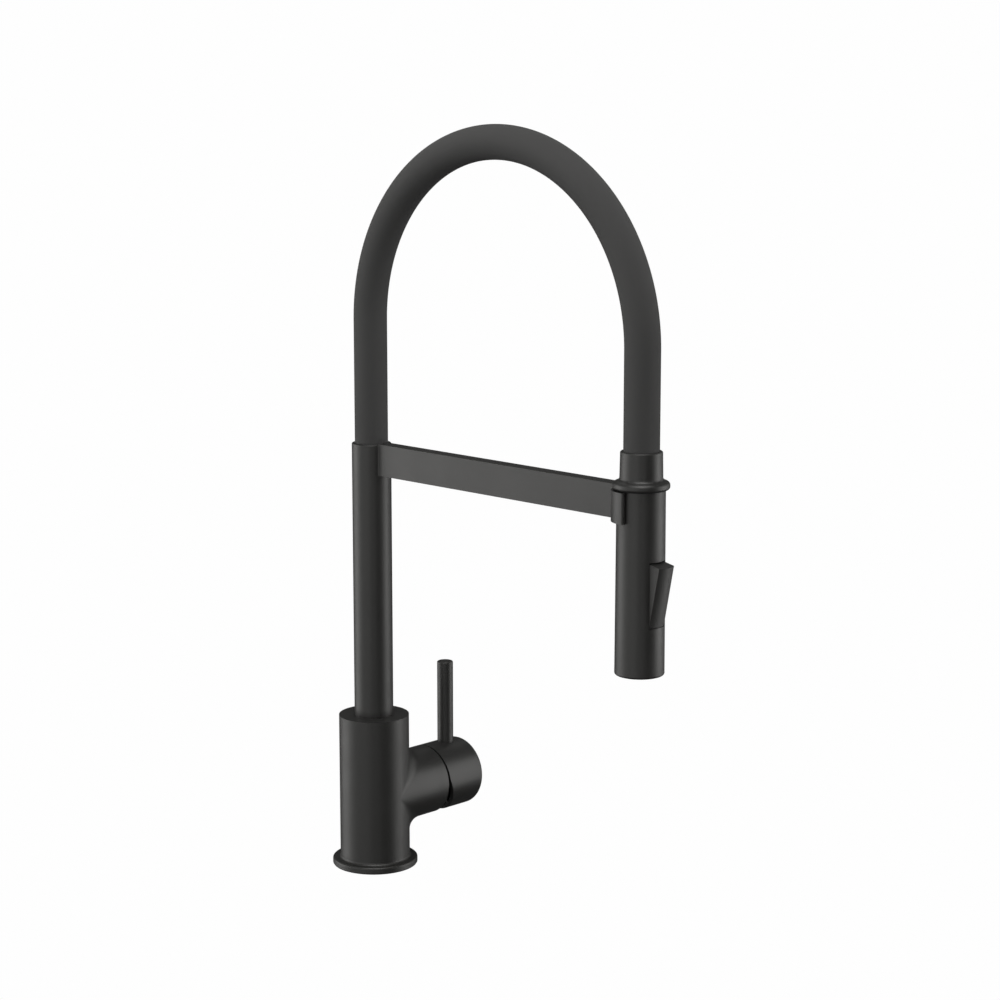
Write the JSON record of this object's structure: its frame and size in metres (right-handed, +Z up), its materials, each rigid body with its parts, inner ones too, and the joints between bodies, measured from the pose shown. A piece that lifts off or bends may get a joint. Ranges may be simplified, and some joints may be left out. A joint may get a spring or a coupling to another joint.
{
  "type": "pull down kitchen faucet",
  "caption": "Pull-down kitchen faucet: upright body with a side lever mixer, swivelling riser, arched silicone hose and a docked spray head with a toggle.",
  "frame": {"origin": "centre of the base, on the deck that the faucet stands on", "axes": "+Z up along the riser; the spout and its spray head lie towards -Y; the mixer and its lever lie towards +X"},
  "size_m": [0.1174, 0.3062, 0.5317],
  "materials": {
    "black_coated_brass": "matt black powder coat, fine and even",
    "black_plastic": "matt black moulded plastic",
    "silicone_sheath": "matt black silicone",
    "black_rubber": "matt nitrile rubber",
    "grey_silicone": "soft dark grey silicone",
    "steel": "plain stainless steel",
    "brass": "machined brass",
    "ceramic": "polished alumina",
    "white_plastic": "moulded acetal"
  },
  "bodies": {
    "base": {"base_body": "black_coated_brass", "base_foot": "black_coated_brass", "inlet_block": "brass", "base_gasket": "black_rubber", "spout_retainer": "steel", "cartridge_base": "white_plastic", "cartridge_seals": "black_rubber", "cartridge_shell": "white_plastic", "fixed_disc": "ceramic", "cartridge_nut": "brass", "dome_cover": "black_plastic"},
    "spindle": {"lever_carrier": "white_plastic", "pivot_pin": "steel"},
    "handle": {"handle_cap": "black_coated_brass", "lever_stem": "brass", "lever_pin": "black_coated_brass", "handle_screw": "steel", "handle_plug": "black_plastic"},
    "mixing_disc": {"moving_disc": "ceramic", "disc_coupler": "white_plastic"},
    "spout": {"riser_tube": "black_coated_brass", "swivel_sleeve": "brass", "swivel_seals": "black_rubber", "thrust_washer": "white_plastic", "hose_socket": "brass", "hose_ferrule_lower": "brass", "support_arm": "black_coated_brass", "dock_cradle": "black_coated_brass", "hose_sheath": "silicone_sheath", "hose_coil": "steel", "hose_liner": "black_rubber"},
    "hose_end": {"hose_ferrule_upper": "brass"},
    "spray_head": {"head_body": "black_coated_brass", "head_collar": "black_coated_brass", "swivel_nut": "brass", "inlet_seal": "black_rubber", "head_core": "white_plastic", "check_valve": "white_plastic", "inlet_filter": "white_plastic", "paddle_pin": "steel", "spray_face": "black_plastic", "spray_jets": "grey_silicone", "aerator": "white_plastic", "head_seal": "black_rubber", "face_holder": "white_plastic"},
    "plunger": {"diverter_plunger": "white_plastic"},
    "paddle": {"spray_paddle": "black_plastic"}
  },
  "joints": [
    {"name": "spout_swivel", "type": "hinge", "parent": "base", "child": "spout", "pos_m": [0, 0, 0.09], "axis": [0, 0, 1], "continuous": true},
    {"name": "head_undock", "type": "slide", "parent": "spout", "child": "hose_end", "axis": [0, -1, 0], "range_m": [0, 0.08], "stiffness_N_per_m": 40, "deforming": ["hose_sheath", "hose_coil", "hose_liner"]},
    {"name": "head_turn", "type": "hinge", "parent": "hose_end", "child": "spray_head", "pos_m": [0, -0.252, 0.303], "axis": [0, 0, 1], "continuous": true},
    {"name": "paddle_rock", "type": "hinge", "parent": "spray_head", "child": "paddle", "pos_m": [0, -0.2642, 0.2212], "axis": [-1, 0, 0], "range_deg": [0, 10], "stiffness_Nm_per_rad": 0.6, "springref_deg": -2.86},
    {"name": "diverter_push", "type": "slide", "parent": "spray_head", "child": "plunger", "axis": [0, 1, 0], "range_m": [0, 0.0056]},
    {"name": "temperature_turn", "type": "hinge", "parent": "base", "child": "spindle", "pos_m": [0.035, 0, 0.0514], "axis": [1, 0, 0], "range_deg": [-45, 45]},
    {"name": "flow_tilt", "type": "hinge", "parent": "spindle", "child": "handle", "pos_m": [0.046, 0, 0.0514], "axis": [0, 1, 0], "range_deg": [0, 21]},
    {"name": "disc_slide", "type": "slide", "parent": "spindle", "child": "mixing_disc", "axis": [0, 0, 1], "range_m": [0, 0.0063]}
  ],
  "couplings": [
    {"joint": "diverter_push", "follows": "paddle_rock", "m_per_rad": 0.0305},
    {"joint": "disc_slide", "follows": "flow_tilt", "m_per_rad": 0.0166}
  ]
}
